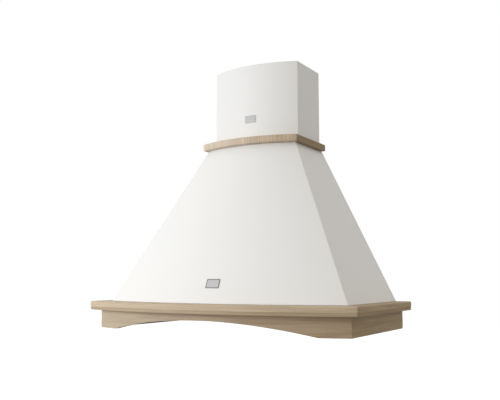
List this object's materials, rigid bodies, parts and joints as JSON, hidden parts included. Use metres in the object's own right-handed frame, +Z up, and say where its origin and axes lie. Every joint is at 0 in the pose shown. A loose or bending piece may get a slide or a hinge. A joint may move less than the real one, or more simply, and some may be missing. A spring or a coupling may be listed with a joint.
{
  "type": "range hood",
  "caption": "Wall hung range hood with a bowed white dome, a bowed chimney, and a limed wood cornice, arched apron and neck ring.",
  "frame": {"origin": "midway between the two upper wall fixing holes, in the wall plane at the back of the wall panel", "axes": "+X to the right of a person who faces the hood, +Y into the wall, +Z up; the room is on the -Y side"},
  "size_m": [0.9, 0.5149, 0.8385],
  "materials": {
    "limed_wood": "limed pale hardwood, satin",
    "block_wood": "raw softwood",
    "white_enamel": "smooth white satin enamel",
    "pan_enamel": "white enamel",
    "galvanised_steel": "galvanised sheet",
    "filter_aluminium": "rolled aluminium",
    "filter_mesh_aluminium": "layered expanded mesh",
    "latch_plastic": "dark grey moulded plastic",
    "lamp_trim": "brushed ring",
    "lamp_glass": "frosted glass",
    "lamp_can_metal": "white coated can",
    "control_plastic": "pale moulded plastic",
    "button_plastic": "white caps",
    "pilot_red": "red lens",
    "blower_plastic": "black moulded plastic",
    "impeller_plastic": "dark grey moulded plastic",
    "flap_plastic": "black moulded plastic",
    "shaft_steel": "ground steel",
    "motor_steel": "zinc plated can",
    "capacitor_plastic": "white can",
    "terminal_plastic": "light grey box",
    "gland_plastic": "black nylon",
    "zinc_screws": "zinc plated"
  },
  "bodies": {
    "hood": {"cornice_front": "limed_wood", "cornice_left": "limed_wood", "cornice_right": "limed_wood", "apron_front": "limed_wood", "apron_left": "limed_wood", "apron_right": "limed_wood", "collar_front": "limed_wood", "collar_left": "limed_wood", "collar_right": "limed_wood", "corner_blocks": "block_wood", "dome_shell": "white_enamel", "lower_chimney": "white_enamel", "underside_pan": "pan_enamel", "rear_panel": "galvanised_steel", "chimney_bracket": "galvanised_steel", "blower_shelf": "galvanised_steel", "filter_hangers": "galvanised_steel", "lamp_rings": "lamp_trim", "lamp_lenses": "lamp_glass", "lamp_cans": "lamp_can_metal", "control_bezel": "control_plastic", "switch_block": "control_plastic", "pilot_lens": "pilot_red", "blower_case_left": "blower_plastic", "blower_case_right": "blower_plastic", "inlet_grille": "blower_plastic", "motor_spider": "blower_plastic", "outlet_adapter": "blower_plastic", "duct_spigot": "blower_plastic", "damper_pins": "shaft_steel", "motor_can": "motor_steel", "run_capacitor": "capacitor_plastic", "terminal_box": "terminal_plastic", "terminal_lid": "terminal_plastic", "cable_gland": "gland_plastic", "pan_screws": "zinc_screws", "shelf_screws": "zinc_screws"},
    "rotor": {"impeller": "impeller_plastic", "fan_shaft": "shaft_steel"},
    "filter_left": {"filter_frame_left": "filter_aluminium", "filter_mesh_left": "filter_mesh_aluminium"},
    "filter_right": {"filter_frame_right": "filter_aluminium", "filter_mesh_right": "filter_mesh_aluminium"},
    "latch_left": {"filter_latch_left": "latch_plastic"},
    "latch_right": {"filter_latch_right": "latch_plastic"},
    "upper_cover": {"upper_chimney": "white_enamel"},
    "flap_front": {"damper_flap_front": "flap_plastic"},
    "flap_rear": {"damper_flap_rear": "flap_plastic"},
    "key_light": {"button_light": "button_plastic"},
    "key_stop": {"button_stop": "button_plastic"},
    "key_speed_low": {"button_speed_low": "button_plastic"},
    "key_speed_mid": {"button_speed_mid": "button_plastic"},
    "key_speed_high": {"button_speed_high": "button_plastic"}
  },
  "joints": [
    {"name": "fan_spin", "type": "hinge", "parent": "hood", "child": "rotor", "pos_m": [0, -0.195, -0.2], "axis": [1, 0, 0], "continuous": true},
    {"name": "filter_left_drop", "type": "hinge", "parent": "hood", "child": "filter_left", "pos_m": [0, -0.05, -0.434], "axis": [1, 0, 0], "range_deg": [0, 75]},
    {"name": "latch_left_pull", "type": "slide", "parent": "filter_left", "child": "latch_left", "axis": [0, 1, 0], "range_m": [0, 0.007], "stiffness_N_per_m": 300, "springref_m": -0.002},
    {"name": "filter_right_drop", "type": "hinge", "parent": "hood", "child": "filter_right", "pos_m": [0, -0.05, -0.434], "axis": [1, 0, 0], "range_deg": [0, 75]},
    {"name": "latch_right_pull", "type": "slide", "parent": "filter_right", "child": "latch_right", "axis": [0, 1, 0], "range_m": [0, 0.007], "stiffness_N_per_m": 300, "springref_m": -0.002},
    {"name": "press_light", "type": "slide", "parent": "hood", "child": "key_light", "axis": [0, 0, 1], "range_m": [0, 0.0025], "stiffness_N_per_m": 400, "springref_m": -0.001},
    {"name": "press_stop", "type": "slide", "parent": "hood", "child": "key_stop", "axis": [0, 0, 1], "range_m": [0, 0.0025], "stiffness_N_per_m": 400, "springref_m": -0.001},
    {"name": "press_speed_low", "type": "slide", "parent": "hood", "child": "key_speed_low", "axis": [0, 0, 1], "range_m": [0, 0.0025], "stiffness_N_per_m": 400, "springref_m": -0.001},
    {"name": "press_speed_mid", "type": "slide", "parent": "hood", "child": "key_speed_mid", "axis": [0, 0, 1], "range_m": [0, 0.0025], "stiffness_N_per_m": 400, "springref_m": -0.001},
    {"name": "press_speed_high", "type": "slide", "parent": "hood", "child": "key_speed_high", "axis": [0, 0, 1], "range_m": [0, 0.0025], "stiffness_N_per_m": 400, "springref_m": -0.001},
    {"name": "flap_front_lift", "type": "hinge", "parent": "hood", "child": "flap_front", "pos_m": [0, -0.0995, 0.0509], "axis": [-1, 0, 0], "range_deg": [0, 78]},
    {"name": "flap_rear_lift", "type": "hinge", "parent": "hood", "child": "flap_rear", "pos_m": [0, -0.0905, 0.0509], "axis": [1, 0, 0], "range_deg": [0, 78]},
    {"name": "upper_chimney_slide", "type": "slide", "parent": "hood", "child": "upper_cover", "axis": [0, 0, 1], "range_m": [0, 0.19]}
  ]
}
